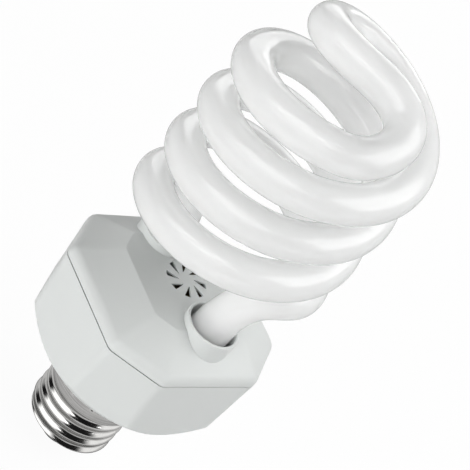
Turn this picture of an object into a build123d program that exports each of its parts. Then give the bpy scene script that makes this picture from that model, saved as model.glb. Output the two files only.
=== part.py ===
from build123d import *
from math import atan2, cos, pi, radians, sin, sqrt, tan
import os

# Compact fluorescent lamp: a glass tube wound in two strands, an eight-sided ballast housing
# and a screw cap. Millimetres, +Z from the cap to the tube, origin at the tip of the contact.

os.makedirs("parts", exist_ok=True)

# Screw cap
cap_height = 27.0            # contact tip to the top of the shell
rim_d = 27.0                 # plain rim of the shell, outside
rim_length = 5.5
thread_crest_d = 26.2
thread_depth = 0.9
thread_pitch = 3.629
thread_runout = 1.0          # length over which the thread fades into plain rounds
shell_wall = 0.4
lip_z = 6.2                  # underside of the shell's inturned lip
lip_bore_d = 21.0
lip_width = 0.9
stake_count = 12             # punch marks that lock the shell on the neck
stake_d = 1.5
stake_depth = 0.3
stake_drop = 1.9             # below the top of the shell
stake_angle = 22.0           # degrees round from +X
insulator_gap = 0.1          # radial play of the glass in the shell
insulator_top_z = 8.4
contact_d = 11.0
contact_thickness = 1.4
contact_crown = 0.6          # height of the contact's crowned underside

# Ballast housing
housing_width = 55.0         # across the long faces, at the seam
corner_width = 61.0          # across the short corner faces, at the seam
housing_height = 32.6        # shoulder on the cap to the seam
wall = 1.6
corner_radius = 3.0
flat_draft = 1.4             # degrees, long faces
corner_draft = 4.7           # degrees, short faces
shoulder_d = 30.0            # flat underside round the cap
cone_angle = 45.0
cone_bulge = 1.4             # sagitta of the cone's slightly rounded flank
neck_gap = 0.1               # radial play of the neck in the shell
neck_wall = 1.4
neck_length = 4.0
seam_gap = 0.35              # shadow line between the housing and its cover

# Cover
band_height = 3.1            # upright band above the seam
facet_run = 11.5             # each facet's width in plan
facet_rise = 6.3
band_radius = 3.0
crease_radius = 0.8
tongue_depth = 2.4           # skirt of the cover inside the housing
tongue_wall = 1.2
tongue_gap = 0.12
collar_d = 15.7
collar_bore_d = 14.0
collar_rise = 2.2            # above the deck
collar_round = 0.4
vent_count = 8
vent_shift = -0.9            # middle of the vents along X from the lamp's axis
vent_hub_d = 5.0
vent_rim_d = 12.3
vent_hub_angle = 6.0         # degrees that a slot spans at the hub
vent_rim_angle = 18.5        # degrees that it spans at the rim
vent_swirl_angle = 17.0      # degrees that it trails from hub to rim
vent_angle = 41.4            # degrees round from +X to a slot's hub end
vent_skin = 0.6              # deck left round the slots
vent_margin = 0.4            # thinned deck outside the slots

# Glass tube
tube_d = 10.8
spiral_d = 60.2
spiral_pitch = 31.0          # rise of one strand in one turn
strand_angle = 583.2         # degrees of even spiral in one strand
leg_radius = 15.5            # lamp axis to each straight leg
leg_drop = 2.0               # top of the straight leg below the deck
leg_depth = 8.6              # foot of the straight leg below the deck
leg_reach = 30.0             # pull of the leg's bend along the leg
foot_d = 12.0                # thicker end of the tube in its collar
foot_waist_d = 11.7          # part of the way up its taper
foot_waist_length = 5.0      # along the bend, from the straight leg
foot_length = 13.0           # along the bend, to where the tube is even
entry_reach = 18.0           # pull of the leg's bend along the spiral
entry_angle = 53.4           # degrees round from the leg to the start of the even spiral
helix_lift = 22.5            # centre of the tube there, above the deck
bridge_lift = 13.2           # centre of the bridge above the end of the even spiral
bridge_angle = 175.7         # degrees from the start of the spiral to the bridge's run
bridge_exit_reach = 28.0     # pull of the bridge's bend along the spiral
bridge_centre_reach = 32.8   # pull of the bridge's bend along the bridge
cement_gap = 0.05            # film between the cement and the pieces that it holds
cement_drop = 4.6            # top of the cement below the deck
cement_length = 3.4

# Ballast
board_drop = 7.6             # underside of the board below the seam
board_thickness = 1.6
board_gap = 0.4
rib_width = 3.0
rib_height = 6.0
rib_reach = 3.0              # how far each rib stands in from the wall
part_gap = 1.6               # room between neighbours on the board
capacitor_d = 10.0
capacitor_length = 20.0
capacitor_round = 0.8
core_width = 16.0
core_depth = 5.0
core_height = 14.0
core_yoke = 2.2
core_leg = 4.4
core_side_leg = 2.1
bobbin_gap = 0.15
bobbin_wall = 0.6
bobbin_flange = 0.9
bobbin_overhang = 3.4        # how far the bobbin stands out in front of the core
winding_gap = 0.1
winding_inset = 0.5          # winding below the edge of the bobbin's flanges
transistor_size = (8.0, 2.7, 11.0)
transistor_hole_d = 3.1
resonance_size = (10.0, 5.0, 10.0)
coupling_size = (8.0, 4.0, 9.0)
start_size = (6.0, 2.5, 6.0)
box_round = 0.9
toroid_d = 9.0
toroid_bore_d = 5.0
toroid_height = 4.5
turn_gap = 0.05
turn_thickness = 0.5
turn_angle = 38.0             # degrees of the ring that each winding covers
turn_count = 3
diode_d = 2.7
diode_length = 5.2
diode_count = 4
drum_d = 7.0
drum_length = 9.0
drum_flange = 1.2
drum_waist_d = 3.6
fuse_d = 3.0
fuse_length = 8.0
resistor_d = 1.8
resistor_length = 3.6
resistor_count = 2
pin_width = 0.8
pin_height = 5.0
pin_spread = 4.4             # from the middle of each leg to its two pins
lead_d = 0.5
lead_spread = 1.9
lead_bend = 0.8
live_d = 1.0
live_bore_d = 1.6
neutral_d = 0.7
neutral_bend = 1.0
wire_gap = 0.2               # room between a wire and the edge that it passes

# Levels and radii that follow from the sizes above
shoulder_z = cap_height
seam_z = shoulder_z + housing_height
rim_z = seam_z + band_height
deck_z = rim_z + facet_rise
board_z = seam_z - board_drop
board_top_z = board_z + board_thickness
rim_bore_r = rim_d / 2 - shell_wall
neck_r = rim_bore_r - neck_gap
neck_bore_r = neck_r - neck_wall
spiral_r = (spiral_d - tube_d) / 2
leg_end_z = deck_z - leg_depth
slope = atan2(facet_rise, facet_run)


def polar(radius, angle):
    """Point in plan at a radius and an angle in degrees."""
    return (radius * cos(radians(angle)), radius * sin(radians(angle)))


def eight_sided(z, flat_inset, corner_inset, radius):
    """Square with cut corners at height z, its long and short sides drawn in by the insets."""
    width = housing_width - 2 * flat_inset
    corner = corner_width - 2 * corner_inset
    with BuildSketch(Plane.XY.offset(z)) as outline:
        Rectangle(width, width)
        Rectangle(corner, corner, rotation=45, mode=Mode.INTERSECT)
        fillet(outline.vertices(), radius)
    return outline.sketch


def drafted(z, inset, radius):
    """The housing's outline at height z below the seam, drawn in by inset."""
    drop = seam_z - z
    flat = inset + drop * tan(radians(flat_draft))
    corner = inset + drop * tan(radians(corner_draft))
    return eight_sided(z, flat, corner, radius)


def housing_form(inset, radius):
    """Drafted walls closed below by a bulged cone, every face drawn in by inset."""
    angle = radians(cone_angle)
    floor_z = shoulder_z + inset
    floor_r = shoulder_d / 2 - inset * tan(angle / 2)
    reach_r = housing_width / sqrt(2)
    reach_z = floor_z + (reach_r - floor_r) * tan(angle)
    flank_r = (floor_r + reach_r) / 2 + cone_bulge * sin(angle)
    flank_z = (floor_z + reach_z) / 2 - cone_bulge * cos(angle)
    walls = [drafted(floor_z, inset, radius), drafted(seam_z, inset, radius)]
    with BuildPart() as form:
        loft(walls)
        with BuildSketch(Plane.XZ):
            with BuildLine():
                Polyline(
                    (reach_r, reach_z),
                    (reach_r, seam_z),
                    (0, seam_z),
                    (0, floor_z),
                    (floor_r, floor_z),
                )
                ThreePointArc((floor_r, floor_z), (flank_r, flank_z), (reach_r, reach_z))
            make_face()
        revolve(axis=Axis.Z, mode=Mode.INTERSECT)
    return form.part


def cover_form(inset, radius):
    """Band and facets of the cover up to its deck, every face drawn in by inset."""
    edge_z = rim_z + inset * tan(slope) - inset / cos(slope)
    top_z = deck_z - inset
    top_inset = facet_run + inset * tan(slope / 2)
    band = eight_sided(seam_z + seam_gap, inset, inset, radius)
    edge = eight_sided(edge_z, inset, inset, radius)
    top = eight_sided(top_z, top_inset, top_inset, radius)
    with BuildPart() as form:
        extrude(band, amount=edge_z - seam_z - seam_gap)
        loft([edge, top])
    return form.part


# Screw shell: one thin pressing. A round drawn off the axis and carried up a helix gives the
# rolled thread's wave on both faces; plain rounds close it above and below.
thread_r = (thread_crest_d - thread_depth) / 2
thread_foot_z = lip_z + shell_wall + thread_runout
thread_top_z = cap_height - rim_length - thread_runout
stake_r = stake_d / 2


def shell_form(inset):
    """The shell's outside, or the hollow in it when drawn in by the wall."""
    lip_top_z = lip_z + inset
    lip_r = lip_bore_d / 2 + lip_width - inset
    with BuildLine() as groove:
        Helix(thread_pitch, thread_top_z - thread_foot_z, thread_depth / 2, center=(0, 0, thread_foot_z))
    with BuildSketch(Plane(groove.line @ 0)) as foot:
        Circle(thread_r - inset)
    with BuildSketch(Plane(groove.line @ 1)) as head:
        Circle(thread_r - inset)
    with BuildSketch(Plane.XY.offset(lip_top_z)) as lip:
        Circle(lip_r)
    with BuildSketch(Plane.XY.offset(thread_top_z + thread_runout)) as rim:
        Circle(rim_d / 2 - inset)
    with BuildPart() as form:
        sweep(foot.sketch, path=groove.line, normal=(0, 0, 1))
        loft([lip.sketch, foot.sketch])
        loft([head.sketch, rim.sketch])
        extrude(rim.sketch, amount=rim_length)
    return form.part


with BuildPart() as screw_shell:
    add(shell_form(0))
    add(shell_form(shell_wall), mode=Mode.SUBTRACT)
    with Locations((0, 0, lip_z)):
        Cylinder(lip_bore_d / 2, 2 * shell_wall, mode=Mode.SUBTRACT)
    with Locations((0, 0, cap_height - stake_drop)):
        with PolarLocations(rim_d / 2 + stake_r - stake_depth, stake_count, start_angle=stake_angle):
            Sphere(stake_r, mode=Mode.SUBTRACT)
screw_shell.part.label = "screw_shell"
export_step(screw_shell.part, "parts/screw_shell.step")

# Glass insulator: a cone below the lip, a plug through it and a flange over it inside the shell.
plug_r = lip_bore_d / 2 - insulator_gap
flange_z = lip_z + shell_wall
flange_r = plug_r + lip_width - shell_wall
with BuildPart() as cap_insulator:
    with BuildSketch(Plane.XZ):
        with BuildLine():
            Polyline(
                (live_bore_d / 2, contact_thickness),
                (contact_d / 2, contact_thickness),
                (plug_r, lip_z),
                (plug_r, flange_z),
                (flange_r, flange_z),
                (flange_r, insulator_top_z),
                (live_bore_d / 2, insulator_top_z),
                close=True,
            )
        make_face()
    revolve(axis=Axis.Z)
cap_insulator.part.label = "cap_insulator"
export_step(cap_insulator.part, "parts/cap_insulator.step")

# Centre contact: a plate with a crowned underside, flush against the glass.
with BuildPart() as centre_contact:
    with BuildSketch(Plane.XZ):
        with BuildLine():
            edge = (contact_d / 2, contact_crown)
            Polyline((0, 0), (0, contact_thickness), (contact_d / 2, contact_thickness), edge)
            TangentArc((0, 0), edge, tangent=(1, 0))
        make_face()
    revolve(axis=Axis.Z)
centre_contact.part.label = "centre_contact"
export_step(centre_contact.part, "parts/centre_contact.step")

# Lower housing: a drafted cup with a cone below, four ribs that carry the board, and a neck
# that fits inside the shell's rim.
inner_corner_radius = corner_radius / 2
rib_r = corner_width / 2 - wall - rib_reach
with BuildPart() as housing_hollow:
    add(housing_form(wall, inner_corner_radius))
    with Locations((0, 0, board_z)):
        with PolarLocations(rib_r, 4, start_angle=45):
            rib_align = (Align.MIN, Align.CENTER, Align.MAX)
            Box(corner_width, rib_width, rib_height, align=rib_align, mode=Mode.SUBTRACT)
with BuildPart() as lower_housing:
    add(housing_form(0, corner_radius))
    add(housing_hollow.part, mode=Mode.SUBTRACT)
    with BuildSketch(Plane.XY.offset(shoulder_z - neck_length)):
        Circle(neck_r)
    extrude(amount=neck_length)
    with BuildSketch(Plane.XY.offset(shoulder_z - neck_length)):
        Circle(neck_bore_r)
    extrude(amount=neck_length + wall, mode=Mode.SUBTRACT)
lower_housing.part.label = "lower_housing"
export_step(lower_housing.part, "parts/lower_housing.step")

# Cover: a band and eight facets up to a deck, a tongue that drops inside the housing, two
# collars for the tube's legs and a swirl of vent slots where the deck is thinned from below.
cover_foot_z = seam_z + seam_gap
tongue_foot_z = seam_z - tongue_depth
tongue_height = cover_foot_z + tongue_wall - tongue_foot_z
tongue = drafted(tongue_foot_z, wall + tongue_gap, inner_corner_radius)
tongue_bore = drafted(tongue_foot_z, wall + tongue_gap + tongue_wall, inner_corner_radius)
collar_top_z = deck_z + collar_rise
with BuildSketch() as vent_slot:
    hub_r = vent_hub_d / 2
    rim_r = vent_rim_d / 2
    with BuildLine():
        lead_rim = polar(rim_r, vent_rim_angle / 2 - vent_swirl_angle)
        trail_rim = polar(rim_r, -vent_rim_angle / 2 - vent_swirl_angle)
        lead_hub = polar(hub_r, vent_hub_angle / 2)
        trail_hub = polar(hub_r, -vent_hub_angle / 2)
        ThreePointArc(lead_rim, polar(rim_r, -vent_swirl_angle), trail_rim)
        Polyline(trail_rim, trail_hub, lead_hub, lead_rim)
    make_face()
with BuildPart() as upper_cover:
    add(cover_form(0, corner_radius))
    fillet(upper_cover.edges().group_by(Axis.Z)[2], band_radius)    # above the foot and uprights
    fillet(upper_cover.edges().group_by(Axis.Z)[-1], crease_radius)
    add(cover_form(wall, inner_corner_radius), mode=Mode.SUBTRACT)
    extrude(eight_sided(cover_foot_z, wall / 2, wall / 2, inner_corner_radius), amount=tongue_wall)
    extrude(tongue, amount=tongue_height)
    extrude(tongue_bore, amount=tongue_height, mode=Mode.SUBTRACT)
    with BuildSketch(Plane.XY.offset(cover_foot_z)):
        with Locations((leg_radius, 0), (-leg_radius, 0)):
            Circle(collar_d / 2)
    extrude(amount=collar_top_z - cover_foot_z)
    with BuildSketch(Plane.XY.offset(cover_foot_z)):
        with Locations((leg_radius, 0), (-leg_radius, 0)):
            Circle(collar_bore_d / 2)
    extrude(amount=collar_top_z - cover_foot_z, mode=Mode.SUBTRACT)
    fillet(upper_cover.edges().group_by(Axis.Z)[-1], collar_round)
    with BuildSketch(Plane((vent_shift, 0, deck_z))):
        with PolarLocations(0, vent_count, start_angle=vent_angle):
            add(vent_slot.sketch)
    extrude(amount=-wall, mode=Mode.SUBTRACT)
    with BuildSketch(Plane((vent_shift, 0, deck_z - vent_skin))):
        Circle(rim_r + vent_margin)
    extrude(amount=-wall, mode=Mode.SUBTRACT)
upper_cover.part.label = "upper_cover"
export_step(upper_cover.part, "parts/upper_cover.step")

# Glass tube: a thicker straight leg, a bend that tapers into the even spiral and a bend into half
# the bridge, drawn with the spiral starting on +X, then set twice round the axis.
helix_rise = spiral_pitch * strand_angle / 360
helix_z = deck_z + helix_lift
helix_end_z = helix_z + helix_rise
climb = atan2(spiral_pitch, 2 * pi * spiral_r)


def along_spiral(angle):
    """Direction of the spiral, climbing anticlockwise, at an angle round the axis."""
    x, y = polar(cos(climb), angle + 90)
    return Vector(x, y, sin(climb))


leg_x, leg_y = polar(leg_radius, -entry_angle)
leg_foot = (leg_x, leg_y, leg_end_z)
leg_top = Vector(leg_x, leg_y, deck_z - leg_drop)
spiral_foot = Vector(spiral_r, 0, helix_z)
spiral_head = Vector(*polar(spiral_r, strand_angle), helix_end_z)
bridge_top = Vector(0, 0, helix_end_z + bridge_lift)
bridge_run = Vector(*polar(1, bridge_angle), 0)
with BuildPart() as tube_strand:
    bend = Edge.make_bezier(
        leg_top,
        leg_top + Vector(0, 0, leg_reach),
        spiral_foot - along_spiral(0) * entry_reach,
        spiral_foot,
    )
    with BuildSketch(Plane(leg_foot)):
        Circle(foot_d / 2)
    extrude(amount=leg_depth - leg_drop)
    rounds = []
    for along, diameter in ((0, foot_d), (foot_waist_length, foot_waist_d), (foot_length, tube_d)):
        place = along / bend.length
        with BuildSketch(Plane(bend @ place, z_dir=bend % place)) as ring:
            Circle(diameter / 2)
        rounds.append(ring.sketch)
    loft(rounds)
    with BuildLine() as strand:
        add(bend.trim(foot_length / bend.length, 1))
        Helix(spiral_pitch, helix_rise, spiral_r, center=(0, 0, helix_z))
        Bezier(
            spiral_head,
            spiral_head + along_spiral(strand_angle) * bridge_exit_reach,
            bridge_top - bridge_run * bridge_centre_reach,
            bridge_top,
        )
    sweep(rounds[-1], path=strand.wires()[0])
with BuildPart() as spiral_tube:
    with PolarLocations(0, 2, start_angle=entry_angle):
        add(tube_strand.part)
spiral_tube.part.label = "spiral_tube"
export_step(spiral_tube.part, "parts/spiral_tube.step")

# Cement: a ring round each leg, below the mouth of its collar.
for name, x in (("leg_cement_a", leg_radius), ("leg_cement_b", -leg_radius)):
    with BuildPart() as leg_cement:
        with BuildSketch(Plane((x, 0, deck_z - cement_drop))):
            Circle(collar_bore_d / 2 - cement_gap)
            Circle(foot_d / 2 + cement_gap, mode=Mode.SUBTRACT)
        extrude(amount=-cement_length)
    leg_cement.part.label = name
    export_step(leg_cement.part, f"parts/{name}.step")

# Ballast board: cut to the housing's outline, resting on its ribs. What it carries hangs below.
with BuildPart() as ballast_board:
    extrude(drafted(board_z, wall + board_gap, inner_corner_radius), amount=board_thickness)
ballast_board.part.label = "ballast_board"
export_step(ballast_board.part, "parts/ballast_board.step")

# Electrolytic capacitor: a can beside the live wire, reaching down towards the neck.
capacitor_x = live_d / 2 + part_gap + capacitor_d / 2
with BuildPart() as electrolytic_capacitor:
    with BuildSketch(Plane((capacitor_x, 0, board_z))):
        Circle(capacitor_d / 2)
    extrude(amount=-capacitor_length)
    fillet(electrolytic_capacitor.edges().sort_by(Axis.Z)[0], capacitor_round)
electrolytic_capacitor.part.label = "electrolytic_capacitor"
export_step(electrolytic_capacitor.part, "parts/electrolytic_capacitor.step")

# Choke: a ferrite core with two windows, a bobbin on its middle leg and the winding between
# the bobbin's flanges.
bobbin_depth = core_depth + 2 * bobbin_overhang
choke_x = -(live_d / 2 + part_gap + bobbin_depth / 2)
window_height = core_height - 2 * core_yoke
window_width = (core_width - core_leg) / 2 - core_side_leg
window_z = board_z - core_height / 2
bobbin_height = window_height - 2 * bobbin_gap
bobbin_width = core_leg + 2 * window_width - 2 * bobbin_gap
sleeve_depth = core_depth + 2 * bobbin_gap
sleeve_width = core_leg + 2 * bobbin_gap
choke_plane = Plane((choke_x, 0, window_z))
with BuildPart() as choke_core:
    with BuildSketch(Plane((choke_x, 0, window_z), x_dir=(0, 1, 0), z_dir=(1, 0, 0))):
        Rectangle(core_width, core_height)
        with GridLocations(core_leg + window_width, 0, 2, 1):
            Rectangle(window_width, window_height, mode=Mode.SUBTRACT)
    extrude(amount=core_depth / 2, both=True)
choke_core.part.label = "choke_core"
export_step(choke_core.part, "parts/choke_core.step")

with BuildPart() as choke_bobbin:
    with BuildSketch(choke_plane):
        Rectangle(bobbin_depth, bobbin_width)
    extrude(amount=bobbin_height / 2, both=True)
    with BuildSketch(choke_plane):
        Rectangle(bobbin_depth, bobbin_width)
        Rectangle(sleeve_depth + 2 * bobbin_wall, sleeve_width + 2 * bobbin_wall, mode=Mode.SUBTRACT)
    extrude(amount=bobbin_height / 2 - bobbin_flange, both=True, mode=Mode.SUBTRACT)
    with BuildSketch(choke_plane):
        Rectangle(sleeve_depth, sleeve_width)
    extrude(amount=bobbin_height / 2, both=True, mode=Mode.SUBTRACT)
choke_bobbin.part.label = "choke_bobbin"
export_step(choke_bobbin.part, "parts/choke_bobbin.step")

with BuildPart() as choke_winding:
    with BuildSketch(choke_plane) as turns:
        Rectangle(bobbin_depth - 2 * winding_inset, bobbin_width - 2 * winding_inset)
        fillet(turns.vertices(), box_round)
        inner_wall = bobbin_wall + winding_gap
        Rectangle(sleeve_depth + 2 * inner_wall, sleeve_width + 2 * inner_wall, mode=Mode.SUBTRACT)
    extrude(amount=bobbin_height / 2 - bobbin_flange - winding_gap, both=True)
choke_winding.part.label = "choke_winding"
export_step(choke_winding.part, "parts/choke_winding.step")

# Row behind the choke: two transistors with the neutral wire between them, the filter inductor
# at one end and the start capacitor at the other.
transistor_width, transistor_depth, transistor_height = transistor_size
row_y = core_width / 2 + part_gap + transistor_depth / 2
transistor_x = part_gap + transistor_width / 2
for name, x in (("transistor_a", transistor_x), ("transistor_b", -transistor_x)):
    with BuildPart() as transistor:
        with Locations((x, row_y, board_z)):
            Box(*transistor_size, align=(Align.CENTER, Align.CENTER, Align.MAX))
        with Locations(Plane((x, row_y, board_z - transistor_height + transistor_hole_d), z_dir=(0, 1, 0))):
            Hole(transistor_hole_d / 2)
    transistor.part.label = name
    export_step(transistor.part, f"parts/{name}.step")

row_end_x = transistor_x + transistor_width / 2 + part_gap
drum_x = row_end_x + drum_d / 2
with BuildPart() as filter_inductor:
    with BuildSketch(Plane((drum_x, row_y, board_z))):
        Circle(drum_d / 2)
    extrude(amount=-drum_length)
    with BuildSketch(Plane((drum_x, row_y, board_z - drum_flange))):
        Circle(drum_d / 2)
        Circle(drum_waist_d / 2, mode=Mode.SUBTRACT)
    extrude(amount=2 * drum_flange - drum_length, mode=Mode.SUBTRACT)
filter_inductor.part.label = "filter_inductor"
export_step(filter_inductor.part, "parts/filter_inductor.step")


def film_box(x, y, size):
    """A moulded box hanging from the board, its upright edges rounded."""
    with BuildPart() as box:
        with Locations((x, y, board_z)):
            Box(*size, align=(Align.CENTER, Align.CENTER, Align.MAX))
        fillet(box.edges().filter_by(Axis.Z), box_round)
    return box.part


# Film capacitors: start, resonance and coupling, the last two in a row in front of the choke.
start_x = -(row_end_x + start_size[0] / 2)
front_y = -(core_width / 2 + part_gap)
resonance_x = (resonance_size[0] + part_gap) / 2
coupling_x = -(coupling_size[0] + part_gap) / 2
film_capacitors = (
    ("start_capacitor", start_x, row_y, start_size),
    ("resonance_capacitor", resonance_x, front_y - resonance_size[1] / 2, resonance_size),
    ("coupling_capacitor", coupling_x, front_y - coupling_size[1] / 2, coupling_size),
)
for name, x, y, size in film_capacitors:
    film_capacitor = film_box(x, y, size)
    film_capacitor.label = name
    export_step(film_capacitor, f"parts/{name}.step")

# Drive transformer: a ferrite ring on edge under the board, with three windings through it, one
# of them against the board.
winding_rise = turn_gap + turn_thickness
toroid_x = capacitor_x + capacitor_d / 2 + part_gap + winding_rise + toroid_height / 2
toroid_z = board_z - winding_rise - toroid_d / 2
toroid_plane = Plane((toroid_x, 0, toroid_z), x_dir=(0, 0, 1), z_dir=(1, 0, 0))
with BuildPart() as drive_toroid:
    with BuildSketch(toroid_plane):
        Circle(toroid_d / 2)
        Circle(toroid_bore_d / 2, mode=Mode.SUBTRACT)
    extrude(amount=toroid_height / 2, both=True)
drive_toroid.part.label = "drive_toroid"
export_step(drive_toroid.part, "parts/drive_toroid.step")

with BuildPart() as one_winding:
    with BuildSketch(Plane.XZ):
        with Locations(((toroid_d + toroid_bore_d) / 4, 0)):
            ring_width = (toroid_d - toroid_bore_d) / 2
            Rectangle(ring_width + 2 * winding_rise, toroid_height + 2 * winding_rise)
            Rectangle(ring_width + 2 * turn_gap, toroid_height + 2 * turn_gap, mode=Mode.SUBTRACT)
    revolve(axis=Axis.Z, revolution_arc=turn_angle)
with BuildPart() as toroid_windings:
    with Locations(toroid_plane):
        with PolarLocations(0, turn_count, start_angle=-turn_angle / 2):
            add(one_winding.part)
toroid_windings.part.label = "toroid_windings"
export_step(toroid_windings.part, "parts/toroid_windings.step")

# Rectifier: four diodes side by side under the board, behind the transistors.
diode_y = row_y + transistor_depth / 2 + part_gap
with BuildPart() as rectifier_diodes:
    with BuildSketch(Plane((0, diode_y, board_z - diode_d / 2), x_dir=(-1, 0, 0), z_dir=(0, 1, 0))):
        with GridLocations(diode_d + part_gap / 2, 0, diode_count, 1):
            Circle(diode_d / 2)
    extrude(amount=diode_length)
rectifier_diodes.part.label = "rectifier_diodes"
export_step(rectifier_diodes.part, "parts/rectifier_diodes.step")

# Fuse resistor beside the choke, and two small resistors beside the coupling capacitor.
fuse_x = choke_x - bobbin_depth / 2 - part_gap - fuse_d / 2
with BuildPart() as fuse_resistor:
    with BuildSketch(Plane((fuse_x, 0, board_z))):
        Circle(fuse_d / 2)
    extrude(amount=-fuse_length)
fuse_resistor.part.label = "fuse_resistor"
export_step(fuse_resistor.part, "parts/fuse_resistor.step")

resistor_pitch = resistor_d + part_gap / 2
resistor_x = coupling_x - coupling_size[0] / 2 - part_gap - resistor_d / 2
with BuildPart() as small_resistors:
    resistor_origin = (resistor_x, front_y, board_z - resistor_d / 2)
    with BuildSketch(Plane(resistor_origin, x_dir=(-1, 0, 0), z_dir=(0, 1, 0))):
        for index in range(resistor_count):
            with Locations((index * resistor_pitch, 0)):
                Circle(resistor_d / 2)
    extrude(amount=-resistor_length)
small_resistors.part.label = "small_resistors"
export_step(small_resistors.part, "parts/small_resistors.step")

# Pins on top of the board, two below each leg, and the tube's leads bent out to them.
lead_z = board_top_z + pin_height / 2
with BuildPart() as wrap_pins:
    with Locations((0, 0, board_top_z)):
        with GridLocations(2 * leg_radius, 2 * pin_spread, 2, 2):
            Box(pin_width, pin_width, pin_height, align=(Align.CENTER, Align.CENTER, Align.MIN))
wrap_pins.part.label = "wrap_pins"
export_step(wrap_pins.part, "parts/wrap_pins.step")

with BuildPart() as tube_leads:
    for x in (leg_radius, -leg_radius):
        for side in (1, -1):
            lead_top = (x, side * lead_spread, leg_end_z)
            lead_corner = (x, side * lead_spread, lead_z)
            lead_end = (x, side * (pin_spread - pin_width / 2), lead_z)
            with BuildLine() as lead:
                FilletPolyline(lead_top, lead_corner, lead_end, radius=lead_bend)
            with BuildSketch(Plane(lead_top)):
                Circle(lead_d / 2)
            sweep(path=lead.line)
tube_leads.part.label = "tube_leads"
export_step(tube_leads.part, "parts/tube_leads.step")

# Live wire: down the axis, through the glass to the contact.
with BuildPart() as live_wire:
    with BuildSketch(Plane.XY.offset(contact_thickness)):
        Circle(live_d / 2)
    extrude(amount=board_z - contact_thickness)
live_wire.part.label = "live_wire"
export_step(live_wire.part, "parts/live_wire.step")

# Neutral wire: down inside the neck, then out under its edge to the shell's rim.
neutral_y = neck_bore_r - neutral_d / 2 - wire_gap
neutral_z = shoulder_z - neck_length - neutral_bend
with BuildPart() as neutral_wire:
    with BuildLine() as neutral:
        neutral_end = (0, rim_bore_r - wire_gap, neutral_z)
        FilletPolyline((0, neutral_y, board_z), (0, neutral_y, neutral_z), neutral_end, radius=neutral_bend)
    with BuildSketch(Plane((0, neutral_y, board_z))):
        Circle(neutral_d / 2)
    sweep(path=neutral.line)
neutral_wire.part.label = "neutral_wire"
export_step(neutral_wire.part, "parts/neutral_wire.step")
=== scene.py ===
from math import cos, radians, sin

import bmesh
import bpy
import numpy as np
from mathutils import Matrix, Vector


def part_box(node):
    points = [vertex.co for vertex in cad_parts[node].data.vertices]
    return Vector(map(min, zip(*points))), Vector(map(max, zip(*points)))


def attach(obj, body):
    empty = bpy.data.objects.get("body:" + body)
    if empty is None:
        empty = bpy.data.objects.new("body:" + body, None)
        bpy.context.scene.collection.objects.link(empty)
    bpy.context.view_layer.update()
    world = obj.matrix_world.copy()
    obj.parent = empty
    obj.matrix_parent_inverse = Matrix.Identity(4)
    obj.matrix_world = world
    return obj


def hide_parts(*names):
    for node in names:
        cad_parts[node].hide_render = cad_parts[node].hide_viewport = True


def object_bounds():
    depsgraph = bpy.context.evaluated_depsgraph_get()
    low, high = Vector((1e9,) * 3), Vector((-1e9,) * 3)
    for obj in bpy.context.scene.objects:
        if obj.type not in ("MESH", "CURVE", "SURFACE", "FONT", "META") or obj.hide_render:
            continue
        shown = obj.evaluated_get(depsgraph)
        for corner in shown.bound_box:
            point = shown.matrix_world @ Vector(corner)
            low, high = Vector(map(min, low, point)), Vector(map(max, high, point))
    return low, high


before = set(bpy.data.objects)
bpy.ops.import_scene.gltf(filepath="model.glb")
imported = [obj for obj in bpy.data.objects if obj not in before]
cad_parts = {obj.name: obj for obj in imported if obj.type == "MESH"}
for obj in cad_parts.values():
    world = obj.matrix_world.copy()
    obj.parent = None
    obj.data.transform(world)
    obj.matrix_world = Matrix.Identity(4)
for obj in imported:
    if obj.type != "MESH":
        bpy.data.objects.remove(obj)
cad_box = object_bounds()

# Screw shell: a thin bright-plated pressing with a rolled right-hand thread. Its plain rim is
# slipped over the housing's neck and locked there by a ring of punch marks.
MM = 0.001
SHELL_LOW, SHELL_HIGH = (np.array(corner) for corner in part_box("screw_shell"))
RIM_R = SHELL_HIGH[0]
RIM_TOP = SHELL_HIGH[2]
RIM_LENGTH = 5.5 * MM
LIP_Z = SHELL_LOW[2]
LIP_BORE_R = 10.5 * MM
LIP_EDGE_R = 11.4 * MM
LIP_ROUND = 0.7 * MM
SHELL_WALL = 0.4 * MM
THREAD_R = 12.65 * MM
THREAD_SWING = 0.45 * MM
THREAD_PITCH = 3.629 * MM
THREAD_RUNOUT = 1.0 * MM
THREAD_FOOT = LIP_Z + SHELL_WALL + THREAD_RUNOUT
THREAD_TOP = RIM_TOP - RIM_LENGTH - THREAD_RUNOUT
STAKE_COUNT = 12
STAKE_START = np.radians(22.0)
STAKE_Z = RIM_TOP - 1.9 * MM
STAKE_R = 0.55 * MM
STAKE_DEPTH = 0.28 * MM
MERGE_WITHIN = 0.0001 * MM


def smooth_step(value, low, high):
    """Rises from 0 at low to 1 at high along the cubic 3t^2 - 2t^3."""
    t = np.clip((value - low) / (high - low), 0.0, 1.0)
    return t * t * (3.0 - 2.0 * t)


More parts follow.
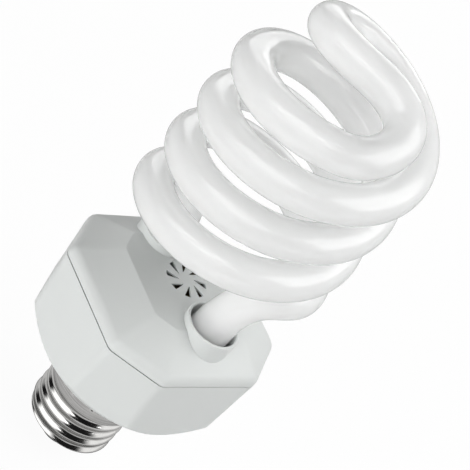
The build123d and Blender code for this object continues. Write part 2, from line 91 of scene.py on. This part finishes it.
def grid_piece(name, points, round_v=False):
    """A mesh from points[v, u]: a quad between each four neighbours, closed round u and, where
    asked, round v, with coincident points merged so that seams and poles are closed."""
    rows, columns = points.shape[:2]
    index = np.arange(rows * columns).reshape(rows, columns)
    index = np.concatenate([index, index[:, :1]], axis=1)
    if round_v:
        index = np.concatenate([index, index[:1]], axis=0)
    corners = (index[:-1, :-1], index[:-1, 1:], index[1:, 1:], index[1:, :-1])
    quads = np.stack(corners, axis=-1).reshape(-1, 4)
    mesh = bpy.data.meshes.new(name)
    mesh.vertices.add(rows * columns)
    mesh.vertices.foreach_set("co", points.astype(np.float32).ravel())
    mesh.loops.add(quads.size)
    mesh.loops.foreach_set("vertex_index", quads.astype(np.int32).ravel())
    mesh.polygons.add(len(quads))
    mesh.polygons.foreach_set("loop_start", np.arange(0, quads.size, 4, dtype=np.int32))
    mesh.update(calc_edges=True)
    work = bmesh.new()
    work.from_mesh(mesh)
    bmesh.ops.remove_doubles(work, verts=work.verts, dist=MERGE_WITHIN)
    bmesh.ops.recalc_face_normals(work, faces=work.faces)
    work.to_mesh(mesh)
    work.free()
    mesh.shade_smooth()
    piece = bpy.data.objects.new(name, mesh)
    bpy.context.scene.collection.objects.link(piece)
    return piece


def shell_points(columns=360, lip_rows=9, wall_rows=125):
    """r(angle, z) = form(z) + swing * fade(z) * cos(angle - 2 pi z / pitch) - dents: down the
    inner wall, round the lip and up the outer wall, all at one set of angles. A dent falls off
    as exp(-d^4) with the distance d from a punch mark's middle, in mark radii."""
    angle = np.linspace(0.0, 2.0 * np.pi, columns, endpoint=False)
    turn = np.linspace(0.0, np.pi / 2.0, lip_rows)
    lip_z = LIP_Z + LIP_ROUND * (1.0 - np.cos(turn))
    lip_r = LIP_EDGE_R + LIP_ROUND * (np.sin(turn) - 1.0)
    wall_z = np.linspace(LIP_Z + LIP_ROUND, RIM_TOP, wall_rows)[1:]
    low = smooth_step(wall_z, LIP_Z + LIP_ROUND, THREAD_FOOT)
    high = smooth_step(wall_z, THREAD_TOP, THREAD_TOP + THREAD_RUNOUT)
    wall_r = LIP_EDGE_R + (THREAD_R - LIP_EDGE_R) * low + (RIM_R - THREAD_R) * high
    outer_r = np.concatenate([[LIP_BORE_R], lip_r, wall_r])
    outer_z = np.concatenate([[LIP_Z], lip_z, wall_z])
    fade = np.concatenate([np.zeros(1 + len(turn)), low * (1.0 - high)])
    inner_z = np.maximum(outer_z, LIP_Z + SHELL_WALL)[::-1]
    inner_r = np.maximum(outer_r - SHELL_WALL, LIP_BORE_R)[::-1]
    form = np.concatenate([inner_r, outer_r])[:, None]
    z = np.concatenate([inner_z, outer_z])[:, None] + 0.0 * angle
    swing = THREAD_SWING * np.concatenate([fade[::-1], fade])[:, None]
    wave = np.cos(angle - 2.0 * np.pi * (z - THREAD_FOOT) / THREAD_PITCH)
    spacing = 2.0 * np.pi / STAKE_COUNT
    aside = (angle - STAKE_START + spacing / 2.0) % spacing - spacing / 2.0
    away = np.hypot(aside * RIM_R, z - STAKE_Z) / STAKE_R
    dent = STAKE_DEPTH * np.exp(-(away**4))
    dent[: len(inner_z)] = 0.0
    r = form + swing * wave - dent
    return np.stack([r * np.cos(angle), r * np.sin(angle), z], axis=-1)


class Wire:
    """One socket of a shader tree, so that maths on it is written as an expression."""

    def __init__(self, tree, socket):
        self.tree = tree
        self.socket = socket

    def node(self, kind, settings, inputs, output=0):
        """Adds a node: its settings first, then a value or a link on each named input."""
        made = self.tree.nodes.new(kind)
        for name, value in settings.items():
            if name == "stops":
                ramp = made.color_ramp
                ramp.interpolation, stops = value
                for place, _ in stops[1:]:
                    ramp.elements.new(place)
                ramp.elements.remove(ramp.elements[-1])
                for element, (place, colour) in zip(ramp.elements, stops):
                    element.position = place
                    element.color = (*colour, 1.0)
            else:
                setattr(made, name, value)
        for name, value in inputs.items():
            if isinstance(value, Wire):
                self.tree.links.new(value.socket, made.inputs[name])
            else:
                made.inputs[name].default_value = value
        return Wire(self.tree, made.outputs[output]) if len(made.outputs) else None

    def math(self, operation, first, second):
        """Adds a Math node on two values."""
        return self.node("ShaderNodeMath", {"operation": operation}, {0: first, 1: second})

    def __add__(self, other):
        return self.math("ADD", self, other)

    __radd__ = __add__

    def __mul__(self, other):
        return self.math("MULTIPLY", self, other)

    __rmul__ = __mul__

    def __sub__(self, other):
        return self.math("SUBTRACT", self, other)

    def __rsub__(self, other):
        return self.math("SUBTRACT", other, self)


def new_finish(name):
    """An empty material and the wire of its Object coordinates, in metres."""
    finish = bpy.data.materials.new(name)
    finish.use_nodes = True
    finish.node_tree.nodes.clear()
    place = finish.node_tree.nodes.new("ShaderNodeTexCoord")
    return finish, Wire(finish.node_tree, place.outputs["Object"])


def stretched(place, x, y, z):
    """Object coordinates counted in lengths of x, y and z along the three axes."""
    scale = (1.0 / x, 1.0 / y, 1.0 / z)
    return place.node("ShaderNodeMapping", {}, {"Vector": place, "Scale": scale})


def grain(place, size, detail=2.0):
    """Noise from 0 to 1 whose features are about size across."""
    inputs = {"Vector": place, "Scale": 1.0 / size, "Detail": detail}
    return place.node("ShaderNodeTexNoise", {}, inputs)


def tinted(place, amount, dark, light):
    """A colour between two, by an amount from 0 to 1."""
    inputs = {0: amount, 6: (*dark, 1.0), 7: (*light, 1.0)}
    return place.node("ShaderNodeMix", {"data_type": "RGBA"}, inputs, output=2)


def roughened(place, height, depth, strength=1.0):
    """A normal tilted by a height field from 0 to 1 that is depth deep."""
    inputs = {"Height": height, "Distance": depth, "Strength": strength}
    return place.node("ShaderNodeBump", {}, inputs)


def surfaced(place, inputs):
    """Ends a material in one principled surface with these inputs."""
    surface = place.node("ShaderNodeBsdfPrincipled", {}, inputs)
    place.node("ShaderNodeOutputMaterial", {}, {"Surface": surface})


def bright_plate():
    """Plated sheet with faint marks of the rolls, drawn out round the cap."""
    finish, place = new_finish("bright_plate")
    rolled = grain(stretched(place, 14.0 * MM, 14.0 * MM, 0.7 * MM), 1.0, 1.0)
    haze = grain(place, 2.5 * MM)
    surfaced(place, {
        "Base Color": tinted(place, haze, (0.70, 0.69, 0.675), (0.82, 0.815, 0.80)),
        "Metallic": 1.0,
        "Roughness": 0.06 + 0.08 * haze + 0.05 * rolled,
        "Normal": roughened(place, rolled, 0.07 * MM),
    })
    return finish


screw_shell = grid_piece("shell_with_thread", shell_points(), round_v=True)
screw_shell.data.materials.append(bright_plate())
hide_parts("screw_shell")
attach(screw_shell, "root")


# Cap insulator: opaque near-black glass pressed into the bottom of the shell. It holds the
# contact clear of the shell.
def black_glass():
    """Dark glass with a few soft flow marks."""
    finish, place = new_finish("black_glass")
    flow = grain(stretched(place, 4.0 * MM, 4.0 * MM, 1.0 * MM), 1.0)
    surfaced(place, {
        "Base Color": tinted(place, flow, (0.012, 0.012, 0.014), (0.03, 0.03, 0.034)),
        "Roughness": 0.06 + 0.10 * flow,
        "IOR": 1.52,
    })
    return finish


def dress(finish, *nodes):
    """Puts a finish on the solids of these pieces."""
    for name in nodes:
        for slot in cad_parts[name].material_slots:
            slot.material = finish


dress(black_glass(), "cap_insulator")


# Centre contact: a stamped disc with a crowned face, tinned, soldered to the live wire. Its
# tip is the lowest point of the lamp.
def tinned():
    """Dull tin with a crystalline bloom."""
    finish, place = new_finish("tinned")
    bloom = grain(place, 0.8 * MM, 4.0)
    surfaced(place, {
        "Base Color": tinted(place, bloom, (0.50, 0.49, 0.46), (0.72, 0.71, 0.68)),
        "Metallic": 1.0,
        "Roughness": 0.22 + 0.22 * bloom,
        "Normal": roughened(place, bloom, 0.03 * MM, 0.6),
    })
    return finish


tin = tinned()
dress(tin, "centre_contact")


# Live and neutral wires: single insulated wires from the board. One goes down the axis to the
# contact, the other out under the neck to the shell.
def wire_sleeve(name, colour):
    """Soft extruded plastic, a little uneven along its length."""
    finish, place = new_finish(name)
    drawn = grain(stretched(place, 0.4 * MM, 0.4 * MM, 6.0 * MM), 1.0)
    pale = tuple(0.75 * part + 0.04 for part in colour)
    surfaced(place, {
        "Base Color": tinted(place, drawn, colour, pale),
        "Roughness": 0.34 + 0.12 * drawn,
        "Normal": roughened(place, drawn, 0.01 * MM, 0.5),
    })
    return finish


dress(wire_sleeve("red_sleeve", (0.42, 0.02, 0.018)), "live_wire")
dress(wire_sleeve("black_sleeve", (0.018, 0.018, 0.02)), "neutral_wire")


# Lower housing: an eight-sided cup moulded in pale cool-grey plastic, with a bulged cone below
# and a neck for the shell. Its satin skin is the same as the cover's.
def pale_plastic():
    """Moulded plastic: an even tint with faint flow, and the fine spark grain of the mould."""
    finish, place = new_finish("pale_plastic")
    flow = grain(place, 22.0 * MM)
    spark = grain(place, 0.28 * MM, 3.0)
    surfaced(place, {
        "Base Color": tinted(place, flow, (0.644, 0.664, 0.654), (0.666, 0.684, 0.674)),
        "Roughness": 0.40 + 0.08 * spark,
        "IOR": 1.5,
        "Specular IOR Level": 0.35,
        "Normal": roughened(place, spark, 0.006 * MM, 0.5),
    })
    return finish


plastic = pale_plastic()
dress(plastic, "lower_housing")


# Ballast board: paper laminate cut to the housing's outline, resting on four ribs. Its
# components hang below it, out of the heat of the tube.
def laminate():
    """Tan resin-bonded paper with long fibres in it."""
    finish, place = new_finish("laminate")
    fibre = grain(stretched(place, 5.0 * MM, 0.35 * MM, 0.35 * MM), 1.0, 4.0)
    blotch = grain(place, 9.0 * MM)
    surfaced(place, {
        "Base Color": tinted(place, fibre, (0.10, 0.06, 0.028), (0.20, 0.125, 0.06)),
        "Roughness": 0.52 + 0.16 * blotch,
        "Normal": roughened(place, fibre, 0.01 * MM, 0.5),
    })
    return finish


dress(laminate(), "ballast_board")


# Choke: a sintered ferrite core with a moulded bobbin on its middle leg, wound full of
# varnished copper wire. The drive ring and the filter inductor are the same ferrite.
CHOKE_WIRE = 0.25 * MM
RING_TURNS = 60.0


def ferrite():
    """Sintered grey-black ceramic with a fine pitted grain."""
    finish, place = new_finish("ferrite")
    pits = grain(place, 0.22 * MM, 5.0)
    surfaced(place, {
        "Base Color": tinted(place, pits, (0.016, 0.016, 0.018), (0.045, 0.045, 0.048)),
        "Roughness": 0.50 + 0.25 * pits,
        "Normal": roughened(place, pits, 0.03 * MM, 0.7),
    })
    return finish


def wound_copper(name, across):
    """Varnished copper: rounded turns side by side, with painted shade between them, from a count of
    turns across them.
    """
    finish, place = new_finish(name)
    turn = place.node("ShaderNodeMath", {"operation": "PINGPONG"}, {0: across(place), 1: 0.5})
    crown = turn * (1.0 - turn) * 4.0
    surfaced(place, {
        # Painted shade: the copper is darker in the grooves between turns than on their crowns.
        "Base Color": tinted(place, crown, (0.22, 0.07, 0.02), (0.62, 0.27, 0.10)),
        "Metallic": 0.85,
        "Roughness": 0.24 + 0.16 * (1.0 - crown),
        "Normal": roughened(place, crown, 0.09 * MM),
    })
    return finish


def turns_up_z(place):
    """Turns counted along Z, a wire's thickness each."""
    up = place.node("ShaderNodeSeparateXYZ", {}, {0: place}, output=2)
    return up * (1.0 / CHOKE_WIRE)


def turns_round_x(place):
    """Turns counted round the drive ring's own axis, which lies along X."""
    low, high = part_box("drive_toroid")
    middle = (low + high) / 2.0
    centred = place.node("ShaderNodeMapping", {"vector_type": "TEXTURE"}, {
        "Vector": place,
        "Location": middle,
        "Rotation": (0.0, radians(90.0), 0.0),
    })
    round_share = place.node("ShaderNodeTexGradient", {"gradient_type": "RADIAL"}, {"Vector": centred})
    return RING_TURNS * round_share


def black_moulding(name, gloss):
    """Black moulded resin with a fine dull grain."""
    finish, place = new_finish(name)
    speck = grain(place, 0.18 * MM, 3.0)
    surfaced(place, {
        "Base Color": tinted(place, speck, (0.012, 0.012, 0.013), (0.028, 0.028, 0.03)),
        "Roughness": gloss + 0.14 * speck,
        "Normal": roughened(place, speck, 0.012 * MM, 0.6),
    })
    return finish


dress(ferrite(), "choke_core", "drive_toroid", "filter_inductor")
dress(black_moulding("bobbin_moulding", 0.32), "choke_bobbin")
dress(wound_copper("choke_wire", turns_up_z), "choke_winding")
dress(wound_copper("ring_wire", turns_round_x), "toroid_windings")


# Electrolytic capacitor: an aluminium can under a shrunk dark sleeve, with a pale stripe down
# its negative side. It is the longest component under the board.
STRIPE_HALF = 1.5 * MM


def can_sleeve():
    """Shrunk sleeve with a stripe where y is small on the side away from the axis."""
    finish, place = new_finish("can_sleeve")
    low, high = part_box("electrolytic_capacitor")
    middle = (low + high) / 2.0
    y = place.node("ShaderNodeSeparateXYZ", {}, {0: place}, output=1)
    x = place.node("ShaderNodeSeparateXYZ", {}, {0: place}, output=0)
    near = place.node("ShaderNodeMath", {"operation": "LESS_THAN"}, {0: y * y, 1: STRIPE_HALF**2})
    far_side = place.node("ShaderNodeMath", {"operation": "GREATER_THAN"}, {0: x, 1: middle.x})
    shrink = grain(stretched(place, 1.2 * MM, 1.2 * MM, 9.0 * MM), 1.0)
    surfaced(place, {
        "Base Color": tinted(place, near * far_side, (0.012, 0.014, 0.03), (0.45, 0.46, 0.48)),
        "Roughness": 0.22 + 0.12 * shrink,
        "Normal": roughened(place, shrink, 0.02 * MM, 0.6),
    })
    return finish


dress(can_sleeve(), "electrolytic_capacitor")


# Film capacitors: wound film dipped in red-brown resin, which sets with an uneven glossy skin.
# Three of them sit against the underside of the board.
def dipped_resin():
    """Glossy resin with the soft swell of a dip coat."""
    finish, place = new_finish("dipped_resin")
    swell = grain(place, 1.6 * MM)
    surfaced(place, {
        "Base Color": tinted(place, swell, (0.16, 0.022, 0.012), (0.27, 0.045, 0.022)),
        "Roughness": 0.14 + 0.10 * swell,
        "Normal": roughened(place, swell, 0.10 * MM, 0.7),
    })
    return finish


dress(dipped_resin(), "resonance_capacitor", "coupling_capacitor", "start_capacitor")


# Transistors and rectifier diodes: chips moulded in black resin. Each diode has a pale ring at
# its cathode end.
def banded(name, axis, low, high, stops, rough):
    """Colour bands from low to high along one axis, over a fine lacquer grain."""
    finish, place = new_finish(name)
    along = place.node("ShaderNodeSeparateXYZ", {}, {0: place}, output=axis)
    share = (along - low) * (1.0 / (high - low))
    lacquer = grain(place, 0.3 * MM, 3.0)
    surfaced(place, {
        "Base Color": place.node("ShaderNodeValToRGB", {"stops": ("CONSTANT", stops)}, {0: share}),
        "Roughness": rough + 0.12 * lacquer,
        "Normal": roughened(place, lacquer, 0.012 * MM, 0.5),
    })
    return finish


BLACK_RESIN = (0.018, 0.018, 0.02)
CATHODE_RING = (0.50, 0.51, 0.52)
diode_low, diode_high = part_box("rectifier_diodes")
diode_bands = ((0.0, BLACK_RESIN), (0.70, CATHODE_RING), (0.86, BLACK_RESIN))
dress(black_moulding("transistor_moulding", 0.42), "transistor_a", "transistor_b")
dress(banded("diode_moulding", 1, diode_low.y, diode_high.y, diode_bands, 0.35), "rectifier_diodes")

# Resistors: ceramic rods in beige lacquer with painted bands. The fuse resistor stands on end,
# and the small ones lie along the board.
BEIGE = (0.46, 0.36, 0.21)
BROWN = (0.10, 0.03, 0.012)
AMBER = (0.50, 0.22, 0.02)
resistor_bands = (
    (0.0, BEIGE), (0.18, BROWN), (0.27, BEIGE), (0.36, BLACK_RESIN), (0.45, BEIGE),
    (0.54, BROWN), (0.63, BEIGE), (0.76, AMBER), (0.85, BEIGE),
)
fuse_low, fuse_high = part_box("fuse_resistor")
small_low, small_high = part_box("small_resistors")
fuse_lacquer = banded("fuse_lacquer", 2, fuse_low.z, fuse_high.z, resistor_bands, 0.40)
small_lacquer = banded("small_lacquer", 1, small_low.y, small_high.y, resistor_bands, 0.40)
dress(fuse_lacquer, "fuse_resistor")
dress(small_lacquer, "small_resistors")

# Wrap pins and tube leads: square tinned posts on top of the board, with the fine leads of the
# tube's two filaments bent out to them.
dress(tin, "wrap_pins", "tube_leads")

# Cover: a band and eight facets up to a flat deck, moulded in the housing's plastic. Its tongue
# snaps inside the housing and leaves a fine shadow line; slots in the deck let the heat out.
dress(plastic, "upper_cover")


# Glass tube: one length bent hot into two strands of spiral with a bridge between them. The
# coating inside is white and even, and the glass over it is smooth and clear.
TUBE_R = 5.4 * MM
FOOT_R = 6.0 * MM
FOOT_TAPER = 14.0 * MM
SPIRAL_R = 24.7 * MM
SPIRAL_PITCH = 31.0 * MM
STRAND_TURNS = 1.75
LEG_R = 15.5 * MM
DECK_Z = 69.0 * MM
LEG_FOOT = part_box("spiral_tube")[0].z
LEG_TOP = DECK_Z - 2.0 * MM
LEG_REACH = 30.0 * MM
ENTRY_REACH = 18.0 * MM
SPIRAL_START = np.radians(53.4)
SPIRAL_FOOT = DECK_Z + 22.5 * MM
BRIDGE_LIFT = 8.05 * MM
BRIDGE_HEADING = np.radians(162.4)
BRIDGE_EXIT_REACH = 11.0 * MM
BRIDGE_CENTRE_REACH = 23.2 * MM
LEG_ROWS, RISE_ROWS, SPIRAL_ROWS, BRIDGE_ROWS = 16, 56, 300, 96


def polar(radius, angle, z):
    """Points at a radius and angle round the axis, at height z."""
    return np.stack(np.broadcast_arrays(radius * np.cos(angle), radius * np.sin(angle), z), axis=-1)


def bend(start, out, back, end, count):
    """A cubic bend on four control points, s^3 a + 3 s^2 t b + 3 s t^2 c + t^3 d with s = 1 - t:
    its points and their directions."""
    t = np.linspace(0.0, 1.0, count)[:, None]
    s = 1.0 - t
    path = s**3 * start + 3 * s * s * t * out + 3 * s * t * t * back + t**3 * end
    slope = s * s * (out - start) + 2 * s * t * (back - out) + t * t * (end - back)
    return path, slope


def strand():
    """Half of the tube's centre line, from the foot of a leg to the middle of the bridge: a line,
    a bend, a helix and a bend, with a direction, a sideways reference and a radius at each point."""
    climb = np.arctan2(SPIRAL_PITCH, 2.0 * np.pi * SPIRAL_R)
    last = 2.0 * np.pi * STRAND_TURNS
    top_z = SPIRAL_FOOT + SPIRAL_PITCH * STRAND_TURNS

    def heading(angle):
        """The helix's own direction at an angle: round the axis and up by the climb."""
        return polar(np.cos(climb), angle + np.pi / 2.0, np.sin(climb))

    foot, top = (polar(LEG_R, -SPIRAL_START, z) for z in (LEG_FOOT, LEG_TOP))
    upward = np.array([0.0, 0.0, 1.0])
    leg = foot + np.linspace(0.0, 1.0, LEG_ROWS)[:, None] * (top - foot)
    entry = polar(SPIRAL_R, 0.0, SPIRAL_FOOT)
    arrive = entry - ENTRY_REACH * heading(0.0)
    rise = bend(top, top + LEG_REACH * upward, arrive, entry, RISE_ROWS)
    angle = np.linspace(0.0, last, SPIRAL_ROWS)
    helix = polar(SPIRAL_R, angle, SPIRAL_FOOT + SPIRAL_PITCH * angle / (2.0 * np.pi))
    crown = np.array([0.0, 0.0, top_z + BRIDGE_LIFT])
    run = polar(1.0, BRIDGE_HEADING, 0.0)
    leave = helix[-1] + BRIDGE_EXIT_REACH * heading(last)
    over = bend(helix[-1], leave, crown - BRIDGE_CENTRE_REACH * run, crown, BRIDGE_ROWS)
    path = np.concatenate([leg, rise[0][1:], helix[1:], over[0][1:]])
    slope = np.concatenate([upward + 0.0 * leg, rise[1][1:], heading(angle)[1:], over[1][1:]])
    slope /= np.linalg.norm(slope, axis=1, keepdims=True)
    bent = np.concatenate([
        np.zeros(LEG_ROWS),
        np.linspace(0.0, 1.0, RISE_ROWS - 1),
        np.ones(SPIRAL_ROWS - 1 + BRIDGE_ROWS - 1),
    ])[:, None]
    side = (1.0 - bent) * polar(1.0, -SPIRAL_START, 0.0) + bent * upward
    step = np.linalg.norm(np.diff(path, axis=0, prepend=path[:1]), axis=1)
    along = np.cumsum(step) - (LEG_TOP - LEG_FOOT)
    radius = FOOT_R + (TUBE_R - FOOT_R) * smooth_step(along, 0.0, FOOT_TAPER)
    return path, slope, side, radius


def turned(vectors, angle):
    """Vectors turned by an angle round the lamp's axis."""
    c, s = np.cos(angle), np.sin(angle)
    return vectors @ np.array([[c, s, 0.0], [-s, c, 0.0], [0.0, 0.0, 1.0]])


def tube_points(columns=64):
    """A circle of the tube's radius carried along both strands: up the first, over the bridge
    and down the second. Its two ends close to a point inside the housing."""
    path, slope, side, radius = strand()
    first, second = SPIRAL_START, SPIRAL_START + np.pi
    path = np.concatenate([turned(path, first), turned(path, second)[-2::-1]])
    slope = np.concatenate([turned(slope, first), -turned(slope, second)[-2::-1]])
    side = np.concatenate([turned(side, first), turned(side, second)[-2::-1]])
    across = side - (side * slope).sum(axis=1, keepdims=True) * slope
    across /= np.linalg.norm(across, axis=1, keepdims=True)
    other = np.cross(slope, across)
    angle = np.linspace(0.0, 2.0 * np.pi, columns, endpoint=False)[:, None]
    ring = np.cos(angle) * across[:, None] + np.sin(angle) * other[:, None]
    body = path[:, None] + np.concatenate([radius, radius[-2::-1]])[:, None, None] * ring
    ends = [np.broadcast_to(path[row], (1, columns, 3)) for row in (0, -1)]
    return np.concatenate([ends[0], body, ends[1]])


def coated_glass():
    """White coating seen through smooth glass: milky, barely mottled, and a little greyer where
    the glass is seen edge on."""
    finish, place = new_finish("coated_glass")
    mottle = grain(place, 7.0 * MM, 3.0)
    dust = grain(place, 0.5 * MM, 2.0)
    surfaced(place, {
        "Base Color": tinted(place, mottle, (0.965, 0.967, 0.965), (0.98, 0.982, 0.98)),
        "Roughness": 0.10 + 0.05 * dust,
        "IOR": 1.5,
        "Subsurface Weight": 1.0,
        "Subsurface Radius": (1.0, 1.0, 1.0),
        "Subsurface Scale": 50.0 * MM,
        "Coat Weight": 1.0,
        "Coat IOR": 1.03,
        "Coat Tint": (0.972, 0.974, 0.972, 1.0),
    })
    return finish


spiral_tube = grid_piece("spiral_glass_tube", tube_points())
spiral_tube.data.materials.append(coated_glass())
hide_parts("spiral_tube")
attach(spiral_tube, "root")


# Leg cement: a ring of off-white cement run in round each leg, below the mouth of its collar.
# It sets hard and holds the tube in the cover.
def set_cement():
    """Matt gritty cement."""
    finish, place = new_finish("set_cement")
    grit = grain(place, 0.35 * MM, 5.0)
    surfaced(place, {
        "Base Color": tinted(place, grit, (0.55, 0.52, 0.45), (0.78, 0.75, 0.68)),
        "Roughness": 0.85,
        "Normal": roughened(place, grit, 0.15 * MM),
    })
    return finish


dress(set_cement(), "leg_cement_a", "leg_cement_b")


# Stage: a plain pale floor under the cap. The camera sees it white, with the lamp's soft shadow,
# and bright metal and glass see a grey glow with a painted shadow under the lamp. From below it is
# clear.
FLOOR_HALF = 4.0
FLOOR_PAINT = (0.95, 0.95, 0.95, 1.0)
FLOOR_GLOW = 0.95
SHADE_LEVEL, SHADE_REACH = 0.08, 12.0 * MM
ECHO_LEVEL, ECHO_REACH = 0.60, 52.0 * MM
floor_z = cad_box[0].z
floor_corners = [
    (x * FLOOR_HALF, y * FLOOR_HALF, floor_z)
    for x, y in ((-1, -1), (1, -1), (1, 1), (-1, 1))
]
floor_mesh = bpy.data.meshes.new("floor")
floor_mesh.from_pydata(floor_corners, [], [(0, 1, 2, 3)])
floor = bpy.data.objects.new("floor", floor_mesh)
bpy.context.scene.collection.objects.link(floor)


def pale_floor():
    """Matt paint, clear from below: a share of glow is even white to the camera. Metal and glass
    see a grey glow with a painted shadow: dark close to the axis, going to a paler echo further out."""
    finish, place = new_finish("pale_floor")
    ray = finish.node_tree.nodes.new("ShaderNodeLightPath").outputs
    straight, glossy, through = (
        Wire(finish.node_tree, ray[name])
        for name in ("Is Camera Ray", "Is Glossy Ray", "Is Transmission Ray")
    )
    matt = place.node("ShaderNodeBsdfDiffuse", {}, {"Color": FLOOR_PAINT})
    away = place.node("ShaderNodeVectorMath", {"operation": "LENGTH"}, {0: place}, output=1)
    reach = {"Value": away, "From Min": SHADE_REACH, "From Max": ECHO_REACH}
    outward = place.node("ShaderNodeMapRange", {"interpolation_type": "SMOOTHSTEP"}, reach)
    # Painted shadow: the glow that metal and glass see is dark close to the axis, under the lamp, and
    # paler further out.
    painted_shadow_echo = tinted(place, outward, (SHADE_LEVEL,) * 3, (ECHO_LEVEL,) * 3)
    grey = place.node("ShaderNodeEmission", {}, {"Color": painted_shadow_echo})
    white = place.node("ShaderNodeEmission", {}, {})
    mirrored = place.node("ShaderNodeMixShader", {}, {0: glossy + through, 1: matt, 2: grey})
    seen = place.node("ShaderNodeMixShader", {}, {0: straight * FLOOR_GLOW, 1: mirrored, 2: white})
    below = place.node("ShaderNodeNewGeometry", {}, {}, output="Backfacing")
    clear = place.node("ShaderNodeBsdfTransparent", {}, {})
    one_sided = place.node("ShaderNodeMixShader", {}, {0: below, 1: seen, 2: clear})
    place.node("ShaderNodeOutputMaterial", {}, {"Surface": one_sided})
    return finish


floor_mesh.materials.append(pale_floor())

# Camera: the photograph's view, a long lens from above and to one side, rolled so that the
# lamp leans to the right.
AZIMUTH = radians(36.03)
ELEVATION = radians(35.338)
ROLL = radians(41.535)
DISTANCE = 630.71 * MM
AIM_Z = 87.02 * MM
AIM_SHIFT = (2.778 * MM, 1.421 * MM)
FOCAL_LENGTH = 185.88
FILM_WIDTH = 36.0
back = Vector((
    sin(AZIMUTH) * cos(ELEVATION),
    -cos(AZIMUTH) * cos(ELEVATION),
    sin(ELEVATION),
))
level = Vector((cos(AZIMUTH), sin(AZIMUTH), 0.0))
above = back.cross(level)
right = cos(ROLL) * level + sin(ROLL) * above
upright = cos(ROLL) * above - sin(ROLL) * level
eye = Vector((0.0, 0.0, AIM_Z)) + AIM_SHIFT[0] * right + AIM_SHIFT[1] * upright + DISTANCE * back
lens = bpy.data.cameras.new("camera")
lens.lens = FOCAL_LENGTH
lens.sensor_width = FILM_WIDTH
camera = bpy.data.objects.new("camera", lens)
turn = Matrix((right, upright, back)).transposed().to_4x4()
camera.matrix_world = Matrix.Translation(eye) @ turn
bpy.context.scene.collection.objects.link(camera)
bpy.context.scene.camera = camera


# Light: large soft boxes low in front, high to the right and low behind. The front one is kept
# out of reflections, where its image would be hard, and one more box gives only soft glints.
def soft_box(name, azimuth, elevation, distance, width, height, power):
    """A wide area light that faces the middle of the lamp from a direction in degrees."""
    light = bpy.data.lights.new(name, "AREA")
    light.shape = "RECTANGLE"
    light.size = width
    light.size_y = height
    light.energy = power
    box = bpy.data.objects.new(name, light)
    flat = cos(radians(elevation))
    way = Vector((
        flat * cos(radians(azimuth)),
        flat * sin(radians(azimuth)),
        sin(radians(elevation)),
    ))
    box.matrix_world = (
        Matrix.Translation(Vector((0.0, 0.0, AIM_Z)) + distance * way)
        @ way.to_track_quat("Z", "Y").to_matrix().to_4x4()
    )
    bpy.context.scene.collection.objects.link(box)
    return box


front = soft_box(
    "front_box", azimuth=276.0, elevation=7.0, distance=0.95, width=1.2, height=0.38, power=8.3
)
soft_box("high_box", azimuth=46.0, elevation=48.0, distance=1.0, width=1.2, height=0.9, power=10.9)
soft_box("back_box", azimuth=140.0, elevation=18.0, distance=1.0, width=1.0, height=0.5, power=3.1)
sheen = soft_box(
    "sheen_box", azimuth=275.0, elevation=46.0, distance=0.95, width=1.15, height=0.5, power=3.8
)
front.visible_glossy = False
sheen.visible_diffuse = False

# Room: dim and even to matt surfaces and pale to the camera. In metal and glass it is a ring of
# pale and dark panels, each given by its direction in degrees and its level close to the floor
# and above.
EVEN_LEVEL = 0.03
PANELS = (
    (180, 0.40, 0.40), (194, 0.40, 0.40), (208, 0.01, 0.01), (224, 0.01, 0.01),
    (242, 0.02, 1.40), (292, 0.02, 1.40), (312, 0.01, 0.01), (366, 0.01, 0.01),
    (388, 1.00, 1.00), (470, 1.00, 1.00), (490, 0.40, 0.40),
)
PANEL_FOOT = (0.08, 0.13)


def panel_ring(way, column):
    """Levels round the lamp, from one column of the panels."""
    stops = [((panel[0] - 180.0) / 360.0, (panel[column],) * 3) for panel in PANELS]
    turn = way.node("ShaderNodeTexGradient", {"gradient_type": "RADIAL"}, {"Vector": way})
    return way.node("ShaderNodeValToRGB", {"stops": ("EASE", stops)}, {0: turn})


world = bpy.data.worlds.new("room")
bpy.context.scene.world = world
world.use_nodes = True
tree = world.node_tree
tree.nodes.clear()
ray = tree.nodes.new("ShaderNodeLightPath").outputs
straight, glossy = (Wire(tree, ray[name]) for name in ("Is Camera Ray", "Is Glossy Ray"))
way = Wire(tree, tree.nodes.new("ShaderNodeTexCoord").outputs["Generated"])
height = way.node("ShaderNodeSeparateXYZ", {}, {0: way}, output=2)
foot = {"Value": height, "From Min": PANEL_FOOT[0], "From Max": PANEL_FOOT[1]}
raised = way.node("ShaderNodeMapRange", {}, foot)
levels = {0: raised, 6: panel_ring(way, 1), 7: panel_ring(way, 2)}
ring = way.node("ShaderNodeMix", {"data_type": "RGBA"}, levels, output=2)
even = way.node("ShaderNodeBackground", {}, {"Strength": EVEN_LEVEL})
panels = way.node("ShaderNodeBackground", {}, {"Color": ring})
pale = way.node("ShaderNodeBackground", {}, {})
mirrored = way.node("ShaderNodeMixShader", {}, {0: glossy, 1: even, 2: panels})
seen = way.node("ShaderNodeMixShader", {}, {0: straight, 1: mirrored, 2: pale})
way.node("ShaderNodeOutputWorld", {}, {"Surface": seen})
bpy.context.scene.view_settings.view_transform = "Standard"
